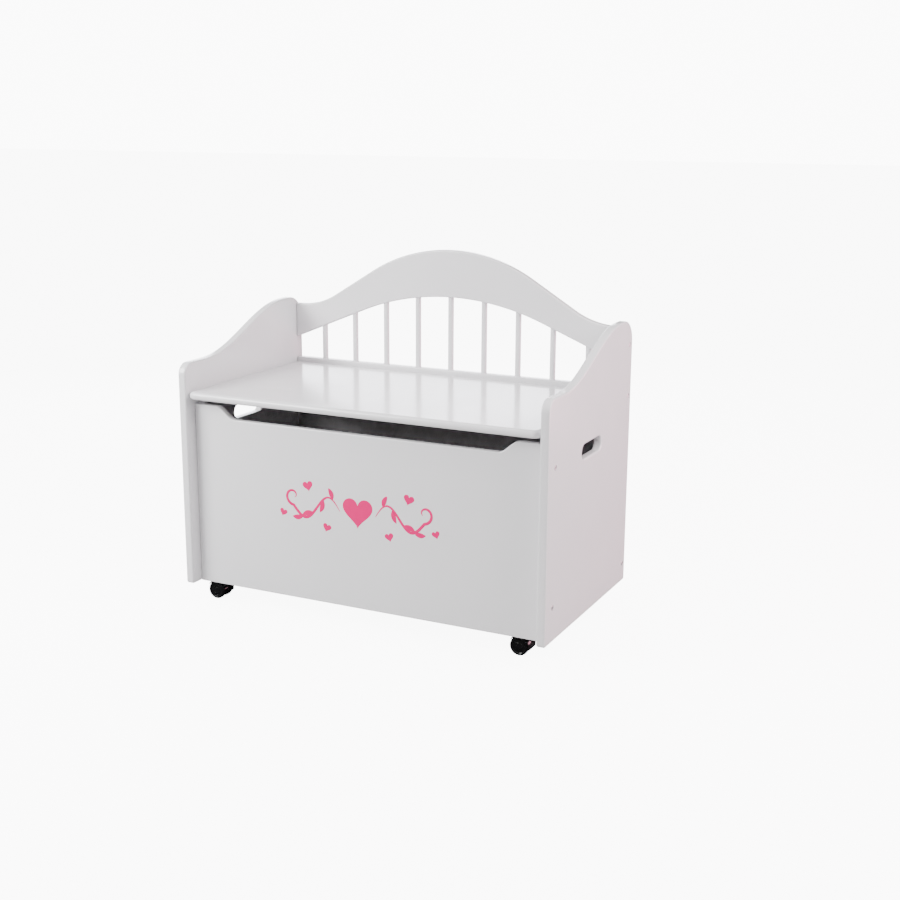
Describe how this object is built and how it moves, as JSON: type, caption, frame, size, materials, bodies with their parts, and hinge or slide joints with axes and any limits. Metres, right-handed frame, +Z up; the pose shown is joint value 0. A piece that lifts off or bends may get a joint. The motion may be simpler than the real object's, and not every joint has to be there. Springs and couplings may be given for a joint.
{
  "type": "toy box",
  "caption": "Lidded wooden toy chest and bench with winged sides, arched spindle back, finger scoop and hand slots, on swivel casters.",
  "frame": {"origin": "on the floor under the middle of the box, where the caster wheels touch down", "axes": "+X to the right of someone facing the box, +Y from the front towards the back, +Z up"},
  "size_m": [0.846, 0.463, 0.7547],
  "materials": {
    "white_lacquer": "white semi-gloss lacquer on board, edges rounded over",
    "bolt_steel": "zinc-plated button-head bolts and hinge pins",
    "hinge_steel": "satin nickel-plated sheet steel",
    "axle_steel": "bright drawn steel",
    "caster_black": "glossy black moulded nylon"
  },
  "bodies": {
    "box": {"side_panel_left": "white_lacquer", "side_panel_right": "white_lacquer", "front_panel": "white_lacquer", "back_panel": "white_lacquer", "crest_rail": "white_lacquer", "spindle_1": "white_lacquer", "spindle_2": "white_lacquer", "spindle_3": "white_lacquer", "spindle_4": "white_lacquer", "spindle_5": "white_lacquer", "spindle_6": "white_lacquer", "spindle_7": "white_lacquer", "spindle_8": "white_lacquer", "spindle_9": "white_lacquer", "bottom_panel": "white_lacquer", "caster_runner_left": "white_lacquer", "caster_runner_right": "white_lacquer", "bottom_batten_front": "white_lacquer", "bottom_batten_back": "white_lacquer", "lid_rest_left": "white_lacquer", "lid_rest_right": "white_lacquer", "side_bolt_left_1": "bolt_steel", "side_bolt_left_2": "bolt_steel", "side_bolt_left_3": "bolt_steel", "side_bolt_left_4": "bolt_steel", "side_bolt_left_5": "bolt_steel", "side_bolt_right_1": "bolt_steel", "side_bolt_right_2": "bolt_steel", "side_bolt_right_3": "bolt_steel", "side_bolt_right_4": "bolt_steel", "side_bolt_right_5": "bolt_steel", "lid_hinge_left_box_leaf": "hinge_steel", "lid_hinge_right_box_leaf": "hinge_steel", "lid_hinge_left_pin": "bolt_steel", "lid_hinge_right_pin": "bolt_steel", "caster_plate_front_left": "caster_black", "caster_plate_front_right": "caster_black", "caster_plate_back_left": "caster_black", "caster_plate_back_right": "caster_black"},
    "lid": {"lid": "white_lacquer", "lid_hinge_left_lid_leaf": "hinge_steel", "lid_hinge_right_lid_leaf": "hinge_steel"},
    "caster_front_left": {"caster_housing_front_left": "caster_black"},
    "wheels_front_left": {"caster_axle_front_left": "axle_steel", "caster_wheel_a_front_left": "caster_black", "caster_wheel_b_front_left": "caster_black"},
    "caster_front_right": {"caster_housing_front_right": "caster_black"},
    "wheels_front_right": {"caster_axle_front_right": "axle_steel", "caster_wheel_a_front_right": "caster_black", "caster_wheel_b_front_right": "caster_black"},
    "caster_back_left": {"caster_housing_back_left": "caster_black"},
    "wheels_back_left": {"caster_axle_back_left": "axle_steel", "caster_wheel_a_back_left": "caster_black", "caster_wheel_b_back_left": "caster_black"},
    "caster_back_right": {"caster_housing_back_right": "caster_black"},
    "wheels_back_right": {"caster_axle_back_right": "axle_steel", "caster_wheel_a_back_right": "caster_black", "caster_wheel_b_back_right": "caster_black"}
  },
  "joints": [
    {"name": "lid_hinge", "type": "hinge", "parent": "box", "child": "lid", "pos_m": [0, 0.1421, 0.45], "axis": [-1, 0, 0], "range_deg": [0, 95]},
    {"name": "caster_swivel_front_left", "type": "hinge", "parent": "box", "child": "caster_front_left", "pos_m": [-0.365, -0.1615, 0.03], "axis": [0, 0, 1], "continuous": true},
    {"name": "wheel_spin_front_left", "type": "hinge", "parent": "caster_front_left", "child": "wheels_front_left", "pos_m": [-0.383, -0.1615, 0.02], "axis": [0, 1, 0], "continuous": true},
    {"name": "caster_swivel_front_right", "type": "hinge", "parent": "box", "child": "caster_front_right", "pos_m": [0.365, -0.1615, 0.03], "axis": [0, 0, 1], "continuous": true},
    {"name": "wheel_spin_front_right", "type": "hinge", "parent": "caster_front_right", "child": "wheels_front_right", "pos_m": [0.347, -0.1615, 0.02], "axis": [0, 1, 0], "continuous": true},
    {"name": "caster_swivel_back_left", "type": "hinge", "parent": "box", "child": "caster_back_left", "pos_m": [-0.365, 0.1615, 0.03], "axis": [0, 0, 1], "continuous": true},
    {"name": "wheel_spin_back_left", "type": "hinge", "parent": "caster_back_left", "child": "wheels_back_left", "pos_m": [-0.383, 0.1615, 0.02], "axis": [0, 1, 0], "continuous": true},
    {"name": "caster_swivel_back_right", "type": "hinge", "parent": "box", "child": "caster_back_right", "pos_m": [0.365, 0.1615, 0.03], "axis": [0, 0, 1], "continuous": true},
    {"name": "wheel_spin_back_right", "type": "hinge", "parent": "caster_back_right", "child": "wheels_back_right", "pos_m": [0.347, 0.1615, 0.02], "axis": [0, 1, 0], "continuous": true}
  ]
}
